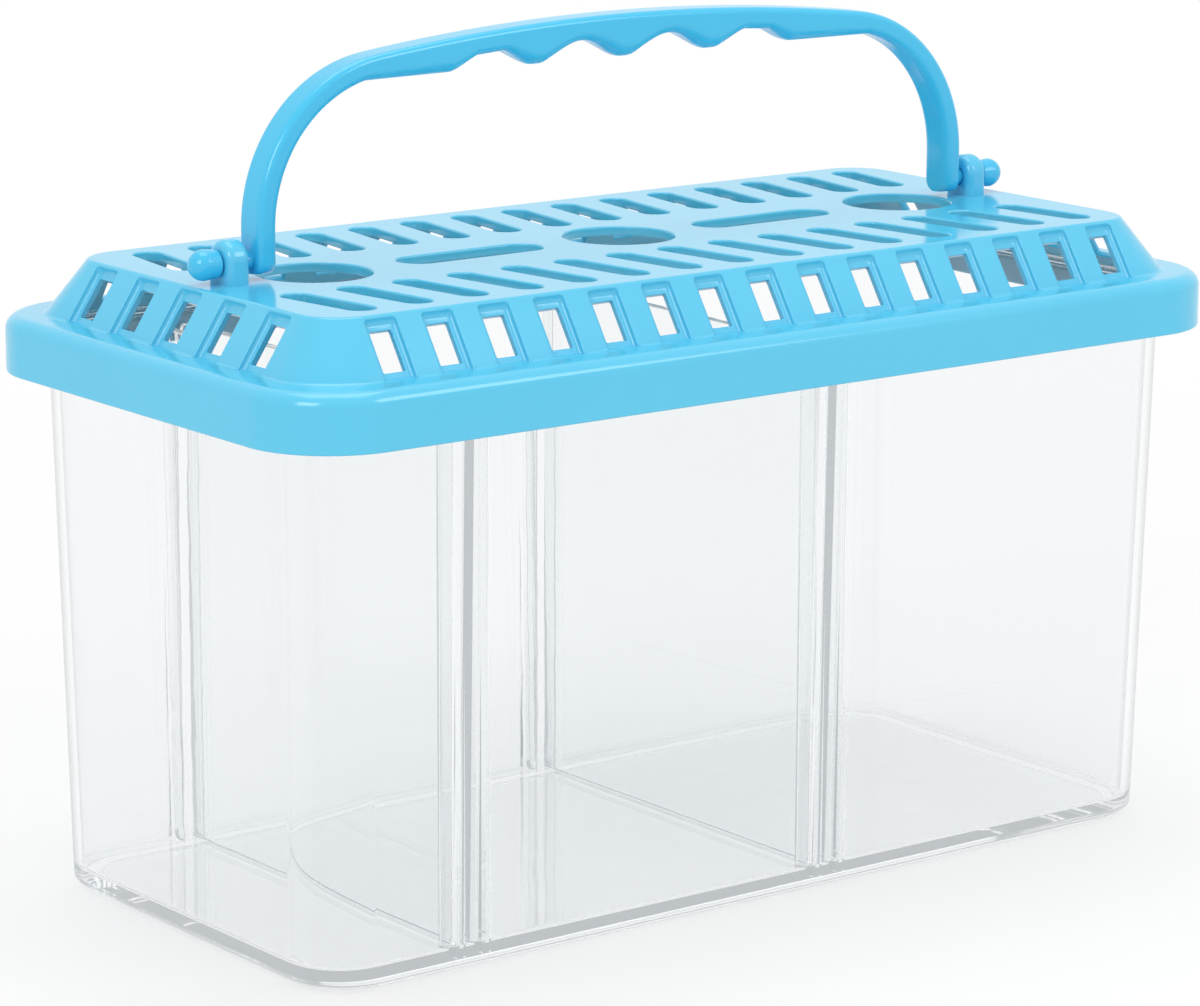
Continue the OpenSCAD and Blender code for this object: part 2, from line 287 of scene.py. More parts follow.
# The shell in section: how far in from the skirt's face, and how high. It starts under the
# plate, comes down inside, goes round the skirt's lower edge and up outside.
edge_round = 0.5 * mm
skirt_round = 3 * mm
foot_round = 1.2 * mm
head_round = 0.9 * mm
slope_shift = slope_wall / math.sin(slope_angle)
inner_foot = ledge_width + slope_shift - lid_wall / math.tan(slope_angle)
inner_head = ledge_width + slope_shift + (slope_rise - lid_wall) / math.tan(slope_angle)
inner_section = rounded_path([
    (plate_x, plate_z - lid_wall, 0),
    (inner_head, plate_z - lid_wall, head_round),
    (inner_foot, ledge_z - lid_wall, foot_round),
    (lid_wall, ledge_z - lid_wall, foot_round),
    (lid_wall, skirt_z, 0)])[1:-1]
outer_section = rounded_path([
    (lid_wall, skirt_z + lid_wall, 0),
    (lid_wall, skirt_z, edge_round),
    (0, skirt_z, edge_round),
    (0, ledge_z, skirt_round),
    (ledge_width, ledge_z, foot_round),
    (plate_inset, plate_z, head_round),
    (plate_x, plate_z, 0)])[1:-1]


# Plan radii of the lid's corners, outside and inside, at the skirt, the ledge and the plate
skirt_corner = 19 * mm
ledge_corner = 13 * mm
plate_corner = 9 * mm
inner_skirt_corner = skirt_corner - lid_wall
inner_ledge_corner = 10.4 * mm
inner_plate_corner = 6.4 * mm


def lid_corner(inset, inside):
    """Plan radius of the lid's corners at an inset."""
    if inside:
        return np.interp(inset, [lid_wall, inner_foot, inner_head],
                         [inner_skirt_corner, inner_ledge_corner, inner_plate_corner])
    return np.interp(inset, [0, ledge_width, plate_inset],
                     [skirt_corner, ledge_corner, plate_corner])


lid = loft("lid_shell", [
    rounded_ring(lid_x - inset, lid_y - inset, lid_corner(inset, inside), z)
    for inside, section in ((True, inner_section), (False, outer_section))
    for inset, z in section])


def count_in(half, pitch):
    """Odd number of copies that fit between the round corners of a side of the plate."""
    return 2 * int((half - plate_corner) / pitch) + 1


def on_slope(turn, half):
    """Places what lies flat about the origin on a sloping side, with Y up the slope."""
    return (Matrix.Rotation(math.radians(turn), 4, "Z")
            @ Matrix.Translation((0, ledge_width - half, ledge_z))
            @ Matrix.Rotation(slope_angle, 4, "X"))


# Pockets and the windows in them, on all four sloping sides. A pocket opens onto the ledge
# at its foot, and its floor rises to the face of the slope at its head.
slot_pitch = 13.25 * mm
end_pitch = 15.6 * mm
long_pocket = 7.4 * mm
end_pocket = 8 * mm
long_window = 5.1 * mm
end_window = 5.5 * mm
pocket_depth = 1.2 * mm
pocket_margin = 0.7 * mm
pocket_head = slope_length - pocket_margin
pocket_ramp = 0.5 * mm
pocket_corner = 0.9 * mm
pocket_lip = 0.25 * mm
pocket_fillet = 0.9 * mm
window_corner = 0.3 * mm
window_lip = 0.12 * mm
window_foot = 2.1 * mm
window_head = 2.9 * mm
window_length = slope_length - window_foot - window_head
pocket_flare = 0.1 * mm
flush = 0.02 * mm


def pocket_ring(half, z, grow):
    """Points round a pocket at one height over the slope, its upper corners rounded."""
    low = (flush - z * math.cos(slope_angle)) / math.sin(slope_angle)
    high = pocket_head + grow + pocket_ramp * max(-1, min(1, z / pocket_depth))
    points = []
    for quarter, (sx, edge, radius) in enumerate((
            (1, high, pocket_corner), (-1, high, pocket_corner),
            (-1, low, flush), (1, low, flush))):
        middle_y = edge - radius if quarter < 2 else edge + radius
        points += [(sx * (half + grow - radius) + radius * math.cos(turn),
                    middle_y + radius * math.sin(turn), z)
                   for turn in np.radians(90 * quarter + np.linspace(0, 90, 5))]
    return points


def pocket_cutter(width):
    """Plug for a pocket, with a rounded rim and fillets round its floor."""
    levels = [(cut_past, pocket_lip + pocket_flare), (lip_start, pocket_lip)]
    levels += [(pocket_lip * (math.cos(turn) - 1), pocket_lip * (1 - math.sin(turn)))
               for turn in lip_turns]
    levels += [(-pocket_depth + pocket_fillet * (1 - math.sin(turn)),
                pocket_fillet * (math.cos(turn) - 1))
               for turn in np.radians([0, 25, 50, 70, 90])]
    return loft("pocket", [pocket_ring(width / 2, z, grow) for z, grow in levels])


pockets = []
windows = []
for turn, half, plate_half, pitch, pocket_width, window_width in (
        (0, lid_y, plate_x, slot_pitch, long_pocket, long_window),
        (180, lid_y, plate_x, slot_pitch, long_pocket, long_window),
        (90, lid_x, plate_y, end_pitch, end_pocket, end_window),
        (-90, lid_x, plate_y, end_pitch, end_pocket, end_window)):
    place = on_slope(turn, half)
    pockets.append(row_of(pocket_cutter(pocket_width), count_in(plate_half, pitch), pitch, place))
    window = cutter("window",
                    lambda grow: box_outline(window_width, window_length, window_corner, grow),
                    -pocket_depth, -slope_wall, window_lip)
    window_middle = window_foot + window_length / 2
    windows.append(row_of(window, count_in(plate_half, pitch), pitch,
                          place @ Matrix.Translation((0, window_middle, 0))))

# Feed holes, the two slots between them, and the two rows of leaning slots
feed_holes = 3
hole_d = 23.5 * mm
hole_end = 28.5 * mm
hole_pitch = plate_x - hole_end
long_slot_width = 9.5 * mm
long_slot_bridge = 9 * mm
long_slot_length = hole_pitch - hole_d - 2 * long_slot_bridge
slot_width = 6.2 * mm
slot_lean = math.radians(8)
slot_inner_margin = 5 * mm
slot_outer_margin = 4.8 * mm
row_in = hole_d / 2 + slot_inner_margin
row_out = plate_y - slot_outer_margin
slot_length = (row_out - row_in - slot_width) / math.cos(slot_lean) + slot_width
plate_lip = 0.45 * mm
plate_floor = plate_z - lid_wall


def plate_cutter(name, length, width):
    """Plug for a round-ended opening in the top plate, along Y."""
    return cutter(name, lambda grow: slot_outline(length, width, grow),
                  plate_z, plate_floor, plate_lip)


openings = [row_of(plate_cutter("feed_hole", hole_d, hole_d), feed_holes, hole_pitch)]
openings.append(row_of(plate_cutter("long_slot", long_slot_length, long_slot_width),
                       feed_holes - 1, hole_pitch, lean=math.pi / 2))
for side in (-1, 1):
    middle = Matrix.Translation((0, side * (row_in + row_out) / 2, 0))
    openings.append(row_of(plate_cutter("slot", slot_length, slot_width),
                           count_in(plate_x, slot_pitch), slot_pitch, middle,
                           lean=-side * slot_lean))

# Ears: round-topped tabs on the plate, bored for the handle's pins
pin_d = 3.6 * mm
ball_d = 6.2 * mm
pivot_rise = 4.1 * mm
pivot_z = plate_z + pivot_rise
ear_thick = 5.2 * mm
ear_width = 8.4 * mm
ear_height = 8.7 * mm
ear_end = 5.8 * mm
ear_x = plate_x - ear_end - ear_thick
ear_round = 1.7 * mm


def ear_outline(grow):
    """Points round an ear seen along X: a straight-sided tab with a half-round top."""
    radius = ear_width / 2 + grow
    top = plate_z + ear_height - ear_width / 2
    arch = [(radius * math.cos(turn), top + radius * math.sin(turn))
            for turn in np.radians(np.linspace(0, 180, 33))]
    return [(radius, plate_z - lid_wall / 2)] + arch + [(-radius, plate_z - lid_wall / 2)]


def ear(side):
    """One ear, its two broad faces rounded into its edge."""
    levels = [(ear_x + ear_round - ear_round * math.cos(turn),
               -ear_round + ear_round * math.sin(turn))
              for turn in np.radians(np.linspace(0, 90, 9))]
    levels += [(2 * ear_x + ear_thick - x, grow) for x, grow in reversed(levels)]
    return loft("ear", [[(side * x, y, z) for y, z in ear_outline(grow)] for x, grow in levels])


def bore(side):
    """Plug for an ear's bore, a little wider than the pin and bevelled at both ends."""
    play = 0.08 * mm
    bevel = 0.3 * mm
    levels = [(ear_x - cut_past, bevel), (ear_x, bevel), (ear_x + bevel, 0)]
    levels += [(2 * ear_x + ear_thick - x, grow) for x, grow in reversed(levels)]
    return loft("bore", [[(side * x, (pin_d / 2 + play + grow) * math.cos(turn),
                           pivot_z + (pin_d / 2 + play + grow) * math.sin(turn))
                          for turn in np.radians(np.arange(0, 360, 9))] for x, grow in levels])


lid = combine(lid, join("ears", [ear(1), ear(-1)]), "UNION")
lid = combine(lid, join("bores", [bore(1), bore(-1)]), "DIFFERENCE")
lid = combine(lid, join("pockets", pockets), "DIFFERENCE")
lid = combine(lid, join("openings", openings + windows), "DIFFERENCE")


def smooth(piece, angle=35):
    """Shades a piece smooth, with its real edges sharp and its flats kept flat."""
    piece.data.shade_smooth()
    piece.data.set_sharp_from_angle(angle=math.radians(angle))
    weighted = piece.modifiers.new("flats", "WEIGHTED_NORMAL")
    weighted.keep_sharp = True
    weighted.weight = 90
    name = piece.name
    return plain(name, piece)


lid = smooth(lid)


def new_material(name):
    """A node material with an empty tree but for its output and a Principled shader."""
    material = bpy.data.materials.new(name)
    material.use_nodes = True
    shader = material.node_tree.nodes["Principled BSDF"]
    return material, material.node_tree, shader


def moulded_surface_group():
    """Shader group for moulded plastic: soft flow clouds, fine grain and faint handling
    marks. It puts out a colour factor, a roughness and a normal."""
    group = bpy.data.node_groups.new("moulded_surface", "ShaderNodeTree")
    face = group.interface
    for name, kind, value in (("Roughness", "NodeSocketFloat", 0.2),
                              ("Cloud Size", "NodeSocketFloat", 40.0),
                              ("Grain Size", "NodeSocketFloat", 900.0),
                              ("Grain Depth", "NodeSocketFloat", 0.02),
                              ("Scuffs", "NodeSocketFloat", 0.1)):
        face.new_socket(name, in_out="INPUT", socket_type=kind).default_value = value
    face.new_socket("Cloud", in_out="OUTPUT", socket_type="NodeSocketFloat")
    face.new_socket("Roughness", in_out="OUTPUT", socket_type="NodeSocketFloat")
    face.new_socket("Normal", in_out="OUTPUT", socket_type="NodeSocketVector")
    nodes, links = group.nodes, group.links
    given = nodes.new("NodeGroupInput")
    result = nodes.new("NodeGroupOutput")
    place = nodes.new("ShaderNodeTexCoord")
    cloud = nodes.new("ShaderNodeTexNoise")
    cloud.inputs["Detail"].default_value = 3
    links.new(place.outputs["Object"], cloud.inputs["Vector"])
    links.new(given.outputs["Cloud Size"], cloud.inputs["Scale"])
    grain = nodes.new("ShaderNodeTexNoise")
    grain.inputs["Detail"].default_value = 2
    links.new(place.outputs["Object"], grain.inputs["Vector"])
    links.new(given.outputs["Grain Size"], grain.inputs["Scale"])
    stretch = nodes.new("ShaderNodeMapping")
    stretch.inputs["Rotation"].default_value = (0.3, 0.2, 0.6)
    stretch.inputs["Scale"].default_value = (30, 420, 200)
    links.new(place.outputs["Object"], stretch.inputs["Vector"])
    scuff = nodes.new("ShaderNodeTexNoise")
    scuff.inputs["Scale"].default_value = 1
    scuff.inputs["Detail"].default_value = 4
    scuff.inputs["Roughness"].default_value = 0.7
    links.new(stretch.outputs[0], scuff.inputs["Vector"])
    marks = nodes.new("ShaderNodeMapRange")
    marks.inputs["From Min"].default_value = 0.58
    marks.inputs["From Max"].default_value = 0.72
    links.new(scuff.outputs["Fac"], marks.inputs["Value"])
    rub = nodes.new("ShaderNodeMath")
    rub.operation = "MULTIPLY"
    links.new(marks.outputs[0], rub.inputs[0])
    links.new(given.outputs["Scuffs"], rub.inputs[1])
    uneven = nodes.new("ShaderNodeMapRange")
    uneven.inputs["To Min"].default_value = 0.8
    uneven.inputs["To Max"].default_value = 1.25
    links.new(cloud.outputs["Fac"], uneven.inputs["Value"])
    base = nodes.new("ShaderNodeMath")
    base.operation = "MULTIPLY"
    links.new(given.outputs["Roughness"], base.inputs[0])
    links.new(uneven.outputs[0], base.inputs[1])
    total = nodes.new("ShaderNodeMath")
    total.operation = "ADD"
    total.use_clamp = True
    links.new(base.outputs[0], total.inputs[0])
    links.new(rub.outputs[0], total.inputs[1])
    height = nodes.new("ShaderNodeMath")
    height.operation = "MULTIPLY_ADD"
    height.inputs[1].default_value = 3
    links.new(cloud.outputs["Fac"], height.inputs[0])
    links.new(grain.outputs["Fac"], height.inputs[2])
    bump = nodes.new("ShaderNodeBump")
    bump.inputs["Distance"].default_value = 0.1 * mm
    links.new(given.outputs["Grain Depth"], bump.inputs["Strength"])
    links.new(height.outputs[0], bump.inputs["Height"])
    links.new(cloud.outputs["Fac"], result.inputs["Cloud"])
    links.new(total.outputs[0], result.inputs["Roughness"])
    links.new(bump.outputs[0], result.inputs["Normal"])
    return group


moulded_surface = moulded_surface_group()


def blue_plastic(name, colour, deep, roughness):
    """Glossy blue moulded plastic, a little deeper in colour where it clouds."""
    material, tree, shader = new_material(name)
    surface = tree.nodes.new("ShaderNodeGroup")
    surface.node_tree = moulded_surface
    surface.inputs["Roughness"].default_value = roughness
    surface.inputs["Cloud Size"].default_value = 35
    surface.inputs["Grain Size"].default_value = 1400
    surface.inputs["Grain Depth"].default_value = 0.05
    surface.inputs["Scuffs"].default_value = 0.08
    tint = tree.nodes.new("ShaderNodeMix")
    tint.data_type = "RGBA"
    tint.inputs["A"].default_value = (*deep, 1)
    tint.inputs["B"].default_value = (*colour, 1)
    tree.links.new(surface.outputs["Cloud"], tint.inputs["Factor"])
    tree.links.new(tint.outputs["Result"], shader.inputs["Base Color"])
    tree.links.new(surface.outputs["Roughness"], shader.inputs["Roughness"])
    tree.links.new(surface.outputs["Normal"], shader.inputs["Normal"])
    shader.inputs["IOR"].default_value = 1.57
    return material


lid.data.materials.clear()
lid.data.materials.append(
    blue_plastic("lid_plastic", (0.10, 0.57, 0.82), (0.085, 0.54, 0.79), 0.14))
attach(lid, "lid")
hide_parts("lid")

# ---------------------------------------------------------------------------------------
# Handle: a bail moulded in the same blue plastic, with a grip shaped for four fingers. Each
# arm ends in a pin with a ball on it, which is sprung through an ear of the lid.
# ---------------------------------------------------------------------------------------
handle_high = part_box("handle")[1]
crown_z = handle_high.z
handle_thick = 4.6 * mm
handle_width = 7.6 * mm
bend_r = 33 * mm
crown_r = 500 * mm
grip_depth = 9.1 * mm
grip_z = crown_z - grip_depth
grip_end_turn = 1.0
groove_pitch = 22.7 * mm
groove_width = 20.5 * mm
groove_depth = 4.1 * mm
groove_power = 1.4
ear_gap = 2.1 * mm
arm_x = ear_x - ear_gap
arm_foot = 2.8 * mm
arm_foot_r = 2.4 * mm
bow_round = 1.4 * mm
grip_round = 3.2 * mm
thick_share = 0.41
width_share = 0.9
ball_x = handle_high.x - ball_d / 2
crown_centre = crown_z - crown_r
bend_x = arm_x - bend_r
bend_z = crown_centre + math.sqrt((crown_r - bend_r) ** 2 - bend_x ** 2)
seam_angle = math.asin(bend_x / (crown_r - bend_r))
foot_z = pivot_z - arm_foot


def groove_rise(x):
    """How far a finger groove lifts the grip's lower edge at x."""
    away = min(abs(abs(x) - (i + 0.5) * groove_pitch) for i in range(2))
    if away > groove_width / 2:
        return 0
    return groove_depth * math.cos(math.pi * away / groove_width) ** groove_power


def bow_station(x, z, angle, thick, half_width, inner_round):
    """Section of the bow below the outer point (x, z), square to the outline there."""
    outer_round = min(bow_round, half_width * width_share)
    outward = Vector((math.sin(angle), 0, math.cos(angle)))
    outer = Vector((x, 0, z))
    across = rounded_path([
        (0, 0, 0), (half_width, 0, outer_round), (half_width, -thick, inner_round),
        (0, -thick, 0), (-half_width, -thick, inner_round), (-half_width, 0, outer_round),
        (0, 0, 0)], steps=7)
    return [tuple(outer + Vector((0, y, 0)) + outward * depth) for y, depth in across[:-1]]


def half_bow():
    """Stations of the bow from its middle to the foot of its right arm."""
    stations = []
    for turn in np.linspace(0, seam_angle, 72, endpoint=False):
        x, z = crown_r * math.sin(turn), crown_centre + crown_r * math.cos(turn)
        thick = handle_thick
        for _ in range(3):
            inner_x = x - thick * math.sin(turn)
            thick = max(handle_thick, (z - grip_z - groove_rise(inner_x)) / math.cos(turn))
        stations.append((x, z, turn, thick, handle_width / 2,
                         min(grip_round, thick * thick_share)))
    for turn in np.linspace(seam_angle, math.pi / 2, 40):
        x, z = bend_x + bend_r * math.sin(turn), bend_z + bend_r * math.cos(turn)
        thick = handle_thick
        if turn < grip_end_turn:
            thick = max(handle_thick, (z - grip_z) / math.cos(turn))
        stations.append((x, z, turn, thick, handle_width / 2,
                         min(grip_round, thick * thick_share)))
    for turn in np.linspace(0, math.pi / 2, 8):
        z = foot_z + arm_foot_r * (1 - math.sin(turn))
        half_width = handle_width / 2 - arm_foot_r * (1 - math.cos(turn))
        stations.append((arm_x, z, math.pi / 2, handle_thick, half_width,
                         min(handle_thick * thick_share, half_width * width_share)))
    return stations


bow_rings = [bow_station(*station) for station in half_bow()]
left_rings = [[(-x, y, z) for x, y, z in ring] for ring in bow_rings]
handle = loft("carry_handle", left_rings[:0:-1] + bow_rings)

# The pins, and the shoulders that lead to their balls just outside the ears
shoulder_d = 5.7 * mm
shoulder_round = 0.7 * mm
shoulder_gap = 0.25 * mm
ball_tip_turn = 0.06


def pin_and_ball(side):
    """A pin with its ball, turned about the pivot axis, from inside the arm outward."""
    start = arm_x - handle_thick / 2
    shoulder = ear_x + ear_thick + shoulder_gap
    profile = [(x, pin_d / 2)
               for x in (start, arm_x - shoulder_gap, arm_x + shoulder_gap, shoulder)]
    profile += [(shoulder + shoulder_round * (1 - math.cos(turn)),
                 shoulder_d / 2 - shoulder_round * (1 - math.sin(turn)))
                for turn in np.radians([0, 30, 60, 90])]
    profile += [(ball_x + ball_d / 2 * math.cos(turn), ball_d / 2 * math.sin(turn))
                for turn in np.linspace(math.pi / 2, ball_tip_turn, 16)]
    return loft("pin", [[(side * x, radius * math.cos(turn), pivot_z + radius * math.sin(turn))
                         for turn in np.radians(np.arange(0, 360, 7.5))] for x, radius in profile])


handle = combine(handle, join("pins", [pin_and_ball(1), pin_and_ball(-1)]), "UNION")
handle = smooth(handle)
handle.data.materials.clear()
handle.data.materials.append(
    blue_plastic("handle_plastic", (0.05, 0.54, 0.83), (0.04, 0.50, 0.79), 0.17))
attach(handle, "handle")
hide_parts("handle")

# ---------------------------------------------------------------------------------------
# Tank: clear polystyrene, moulded in one piece. Its walls lean in towards a thicker floor
# on a low foot ring, a flange round its rim carries the lid, and pairs of guide ribs on
# the front and rear walls hold the dividers.
# ---------------------------------------------------------------------------------------
tank_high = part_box("tank")[1]
tank_height = tank_high.z
tank_inset = 8 * mm
tank_x = lid_x - tank_inset
tank_y = lid_y - tank_inset
tank_wall = 2 * mm
tank_draft = 2.2 * mm
tank_corner = 12.5 * mm
base_round = 2.5 * mm
foot_height = 0.8 * mm
foot_width = 3.2 * mm
floor_thick = 3.6 * mm
floor_z = foot_height + floor_thick
rim_thick = 2 * mm
flange_out = tank_high.x - tank_x
foot_inset = tank_draft + base_round
foot_inner_round = 0.4 * mm
foot_edge_round = 0.3 * mm
foot_outer_round = 0.15 * mm
base_share = 0.9
wall_head_inset = 0.04 * mm
under_flange_round = 0.8 * mm
flange_edge_round = 0.4 * mm
mouth_round = 0.5 * mm
floor_round = 1.2 * mm
round_steps = 7
tank_section = rounded_path([
    (tank_y, foot_height, 0),
    (foot_inset + foot_width, foot_height, foot_inner_round),
    (foot_inset + foot_width, 0, foot_edge_round),
    (foot_inset, 0, foot_edge_round),
    (foot_inset, foot_height, foot_outer_round),
    (tank_draft, foot_height, base_round * base_share),
    (wall_head_inset, tank_height - rim_thick, under_flange_round),
    (-flange_out, tank_height - rim_thick, flange_edge_round),
    (-flange_out, tank_height, flange_edge_round),
    (tank_wall, tank_height, mouth_round),
    (tank_wall + tank_draft, floor_z, floor_round),
    (tank_y, floor_z, 0)], steps=round_steps)[1:-1]
flange_corner_share = 0.4


def tank_corner_at(inset, inside):
    """Plan radius of the tank's corners at an inset. It grows a little on the flange."""
    if inside:
        return tank_corner - tank_wall - max(0, inset - tank_wall - tank_draft)
    if inset < 0:
        return tank_corner - inset * flange_corner_share
    return tank_corner - max(0, inset - foot_inset)


# The last two rounds of the section, at the mouth and the floor, are inside the tank
inside_from = len(tank_section) - 2 * (round_steps + 1)
tank = loft("clear_tank", [
    rounded_ring(tank_x - inset, tank_y - inset,
                 tank_corner_at(inset, i >= inside_from), z, steps=14)
    for i, (inset, z) in enumerate(tank_section)])

# Guide ribs, two pairs on each long wall
base_x = tank_x - tank_draft - tank_wall
base_y = tank_y - tank_draft - tank_wall
divider_thick = 2.3 * mm
guide_play = 0.8 * mm
rib_width = 2.3 * mm
rib_depth = 4 * mm
rib_short = 5 * mm
rib_top = tank_height - rib_short
rib_round = 0.5 * mm
left_bay = 32.5 * mm
right_bay = 92.1 * mm
left_divider_x = left_bay - base_x
right_divider_x = base_x - right_bay
rib_pitch = divider_thick + 2 * guide_play + rib_width


def guide_rib():
    """A rib on the rear wall, its inner edges and top rounded, and its root in the wall."""
    root = base_y + tank_draft + tank_wall / 2
    half = rib_width / 2
    inner = base_y - rib_depth
    plan = rounded_path([(half, root, 0), (half, inner, rib_round), (-half, inner, rib_round),
                         (-half, root, 0)], steps=4)
    levels = [(floor_z - tank_wall / 2, 0)]
    levels += [(rib_top - rib_round + rib_round * math.sin(turn), rib_round * (1 - math.cos(turn)))
               for turn in np.radians(np.linspace(0, 90, 5))]
    return loft("rib", [[(x * (1 - shrink / half), y + shrink * (y < root - mm), z)
                         for x, y in plan] for z, shrink in levels])


ribs = []
for divider_x in (left_divider_x, right_divider_x):
    for turn in (0, 180):
        place = Matrix.Translation((divider_x, 0, 0)) @ Matrix.Rotation(math.radians(turn), 4, "Z")
        ribs.append(row_of(guide_rib(), 2, rib_pitch, place))
tank = combine(tank, join("ribs", ribs), "UNION")
tank = smooth(tank)


def clear_plastic(name, tint, roughness):
    """Clear polystyrene: it bends light, has faint flow lines, has a grey shade painted where an
    upright face turns edge-on, and lets the lamps through. A dim grey glow stands in for trapped
    light."""
    material, tree, shader = new_material(name)
    surface = tree.nodes.new("ShaderNodeGroup")
    surface.node_tree = moulded_surface
    surface.inputs["Roughness"].default_value = roughness
    surface.inputs["Cloud Size"].default_value = 14
    surface.inputs["Grain Size"].default_value = 60
    surface.inputs["Grain Depth"].default_value = 0.35
    surface.inputs["Scuffs"].default_value = 0.03
    faint = tree.nodes.new("ShaderNodeMix")
    faint.data_type = "RGBA"
    faint.inputs["A"].default_value = (*[c * 0.985 for c in tint], 1)
    faint.inputs["B"].default_value = (*tint, 1)
    tree.links.new(surface.outputs["Cloud"], faint.inputs["Factor"])
    # Painted shade: a mask of upright faces seen edge-on, where grey is painted to stand in for
    # the dark edges that bent light gives clear plastic
    facing = tree.nodes.new("ShaderNodeLayerWeight")
    edge = tree.nodes.new("ShaderNodeMapRange")
    edge.inputs["From Min"].default_value = 0.55
    edge.inputs["From Max"].default_value = 0.92
    tree.links.new(facing.outputs["Facing"], edge.inputs["Value"])
    geometry = tree.nodes.new("ShaderNodeNewGeometry")
    normal_axes = tree.nodes.new("ShaderNodeSeparateXYZ")
    tree.links.new(geometry.outputs["Normal"], normal_axes.inputs[0])
    level = tree.nodes.new("ShaderNodeMath")
    level.operation = "ABSOLUTE"
    tree.links.new(normal_axes.outputs["Z"], level.inputs[0])
    upright = tree.nodes.new("ShaderNodeMapRange")
    upright.inputs["From Min"].default_value = 0.5
    upright.inputs["From Max"].default_value = 0.2
    tree.links.new(level.outputs[0], upright.inputs["Value"])
    painted_edge_shade = tree.nodes.new("ShaderNodeMath")
    painted_edge_shade.operation = "MULTIPLY"
    tree.links.new(edge.outputs[0], painted_edge_shade.inputs[0])
    tree.links.new(upright.outputs[0], painted_edge_shade.inputs[1])
    # Mixes the painted grey edge shade into the plastic's colour
    outline = tree.nodes.new("ShaderNodeMix")
    outline.data_type = "RGBA"
    outline.inputs["B"].default_value = (0.34, 0.37, 0.38, 1)
    tree.links.new(painted_edge_shade.outputs[0], outline.inputs["Factor"])
    tree.links.new(faint.outputs["Result"], outline.inputs["A"])
    tree.links.new(outline.outputs["Result"], shader.inputs["Base Color"])
    tree.links.new(surface.outputs["Roughness"], shader.inputs["Roughness"])
    tree.links.new(surface.outputs["Normal"], shader.inputs["Normal"])
    shader.inputs["Transmission Weight"].default_value = 1
    shader.inputs["IOR"].default_value = 1.5
    path = tree.nodes.new("ShaderNodeLightPath")
    trapped = tree.nodes.new("ShaderNodeMath")
    trapped.operation = "GREATER_THAN"
    trapped.inputs[1].default_value = 3.5
    tree.links.new(path.outputs["Glossy Depth"], trapped.inputs[0])
    glow = tree.nodes.new("ShaderNodeMix")
    glow.data_type = "RGBA"
    glow.inputs["A"].default_value = (0, 0, 0, 1)
    glow.inputs["B"].default_value = (0.57, 0.60, 0.62, 1)
    tree.links.new(trapped.outputs[0], glow.inputs["Factor"])
    tree.links.new(glow.outputs["Result"], shader.inputs["Emission Color"])
    shader.inputs["Emission Strength"].default_value = 0.45
    lamp_light = tree.nodes.new("ShaderNodeBsdfTransparent")
    lamp_light.inputs["Color"].default_value = (0.93, 0.95, 0.96, 1)
    choose = tree.nodes.new("ShaderNodeMixShader")
    output = tree.nodes["Material Output"]
    tree.links.new(path.outputs["Is Shadow Ray"], choose.inputs[0])
    tree.links.new(shader.outputs[0], choose.inputs[1])
    tree.links.new(lamp_light.outputs[0], choose.inputs[2])
    tree.links.new(choose.outputs[0], output.inputs["Surface"])
    return material


tank.data.materials.clear()
tank.data.materials.append(clear_plastic("clear_tank_plastic", (0.965, 0.975, 0.98), 0.015))
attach(tank, "tank")
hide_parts("tank")

# ---------------------------------------------------------------------------------------
# Dividers: two loose clear plates, cut to the taper of the tank, that drop between the
# guide ribs. Their edges are lightly rounded.
# ---------------------------------------------------------------------------------------
divider_edge = 0.35 * mm
divider_corner = 1.5 * mm
wall_play = 0.3 * mm


def divider_outline(low, high, grow):
    """Points round a divider seen along X, its corners rounded."""
    foot, head = base_y - wall_play + grow, high.y + grow
    bottom, top = low.z - grow, high.z + grow
    return rounded_path([
        (0, bottom, 0), (foot, bottom, divider_corner), (head, top, divider_corner),
        (-head, top, divider_corner), (-foot, bottom, divider_corner), (0, bottom, 0)],
        steps=5)[:-1]


def divider_plate(name, low, high):
    """A divider that fills the box from low to high, with rounded edges."""
    middle_x = (low.x + high.x) / 2
    levels = [(-divider_thick / 2 + divider_edge * (1 - math.cos(turn)),
               -divider_edge * (1 - math.sin(turn)))
              for turn in np.radians(np.linspace(0, 90, 5))]
    levels += [(-x, grow) for x, grow in reversed(levels)]
    return smooth(loft(name, [
        [(middle_x + x, y, z) for y, z in divider_outline(low, high, grow)]
        for x, grow in levels]))


divider_plastic = clear_plastic("clear_divider_plastic", (0.955, 0.97, 0.975), 0.02)
for name in ("left_divider", "right_divider"):
    divider = divider_plate(name + "_plate", *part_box(name))
    divider.data.materials.append(divider_plastic)
    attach(divider, name)
    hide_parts(name)

# ---------------------------------------------------------------------------------------
# Studio: a plain white paper floor that fades into a white world away from the box, and
# three square soft lamps, at the left, at the right and above.
# ---------------------------------------------------------------------------------------
floor_size = 4.0
white_from = 0.28
white_to = 0.6
floor_shape = bmesh.new()
bmesh.ops.create_grid(floor_shape, x_segments=1, y_segments=1, size=floor_size)
floor = as_object("floor", floor_shape)
floor_material, floor_tree, floor_shader = new_material("floor_paper")
floor_shader.inputs["Base Color"].default_value = (0.93, 0.93, 0.93, 1)
floor_shader.inputs["Roughness"].default_value = 0.9
floor_shader.inputs["Specular IOR Level"].default_value = 0.1


def seen_directly(tree):
    """A value of 1 for rays from the camera, mirrors and clear plastic, and 0 for the rest."""
    rays = tree.nodes.new("ShaderNodeLightPath")
    total = rays.outputs["Is Camera Ray"]
    for name in ("Is Glossy Ray", "Is Transmission Ray"):
        larger = tree.nodes.new("ShaderNodeMath")
        larger.operation = "MAXIMUM"
        tree.links.new(total, larger.inputs[0])
        tree.links.new(rays.outputs[name], larger.inputs[1])
        total = larger.outputs[0]
    return total


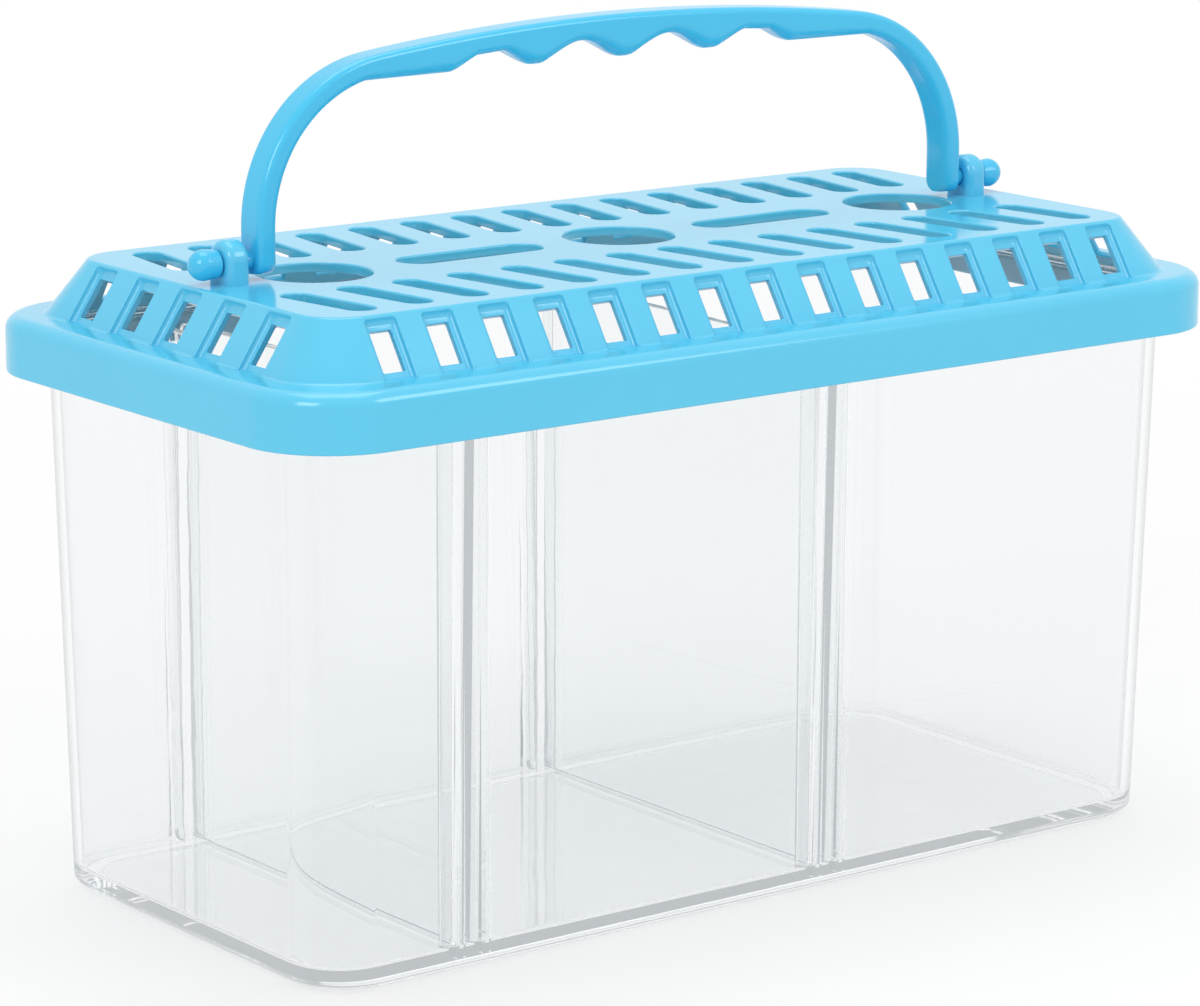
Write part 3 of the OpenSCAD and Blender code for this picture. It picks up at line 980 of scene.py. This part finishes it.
# Away from the object the floor fades into plain white
place = floor_tree.nodes.new("ShaderNodeTexCoord")
reach = floor_tree.nodes.new("ShaderNodeVectorMath")
reach.operation = "LENGTH"
floor_tree.links.new(place.outputs["Object"], reach.inputs[0])
fade = floor_tree.nodes.new("ShaderNodeMapRange")
fade.interpolation_type = "SMOOTHSTEP"
fade.inputs["From Min"].default_value = white_from
fade.inputs["From Max"].default_value = white_to
fade.inputs["To Min"].default_value = 0.52
floor_tree.links.new(reach.outputs["Value"], fade.inputs["Value"])
share = floor_tree.nodes.new("ShaderNodeMath")
share.operation = "MULTIPLY"
floor_tree.links.new(fade.outputs[0], share.inputs[0])
floor_tree.links.new(seen_directly(floor_tree), share.inputs[1])
white = floor_tree.nodes.new("ShaderNodeEmission")
white.inputs["Color"].default_value = (1, 1, 1, 1)
white.inputs["Strength"].default_value = 1
blend = floor_tree.nodes.new("ShaderNodeMixShader")
floor_tree.links.new(share.outputs[0], blend.inputs[0])
floor_tree.links.new(floor_shader.outputs[0], blend.inputs[1])
floor_tree.links.new(white.outputs[0], blend.inputs[2])
floor_tree.links.new(blend.outputs[0], floor_tree.nodes["Material Output"].inputs["Surface"])
floor.data.materials.append(floor_material)


def lamp(name, place, aim, size, energy):
    """A square soft lamp that faces aim."""
    data = bpy.data.lights.new(name, "AREA")
    data.size = size
    data.energy = energy
    made = bpy.data.objects.new(name, data)
    made.location = place
    made.rotation_euler = (Vector(aim) - Vector(place)).to_track_quat("-Z", "Y").to_euler()
    bpy.context.scene.collection.objects.link(made)


lamp("left_lamp", (-1.05, -0.5, 0.8), (0, 0, 0.1), 0.5, 3.6)
lamp("right_lamp", (0.6, -1.0, 0.85), (0, 0, 0.1), 0.5, 2.8)
lamp("top_lamp", (0.1, 0.15, 1.35), (0, 0, 0.1), 0.9, 4.8)

world = bpy.data.worlds.new("studio")
bpy.context.scene.world = world
world.use_nodes = True
sky = world.node_tree.nodes["Background"]
sky.inputs["Color"].default_value = (1, 1, 1, 1)
sky.inputs["Strength"].default_value = 0.72
bright = world.node_tree.nodes.new("ShaderNodeBackground")
bright.inputs["Color"].default_value = (1, 1, 1, 1)
bright.inputs["Strength"].default_value = 1
pick = world.node_tree.nodes.new("ShaderNodeMixShader")
world.node_tree.links.new(seen_directly(world.node_tree), pick.inputs[0])
world.node_tree.links.new(sky.outputs[0], pick.inputs[1])
world.node_tree.links.new(bright.outputs[0], pick.inputs[2])
world.node_tree.links.new(pick.outputs[0], world.node_tree.nodes["World Output"].inputs["Surface"])

bpy.context.scene.view_settings.view_transform = "Standard"
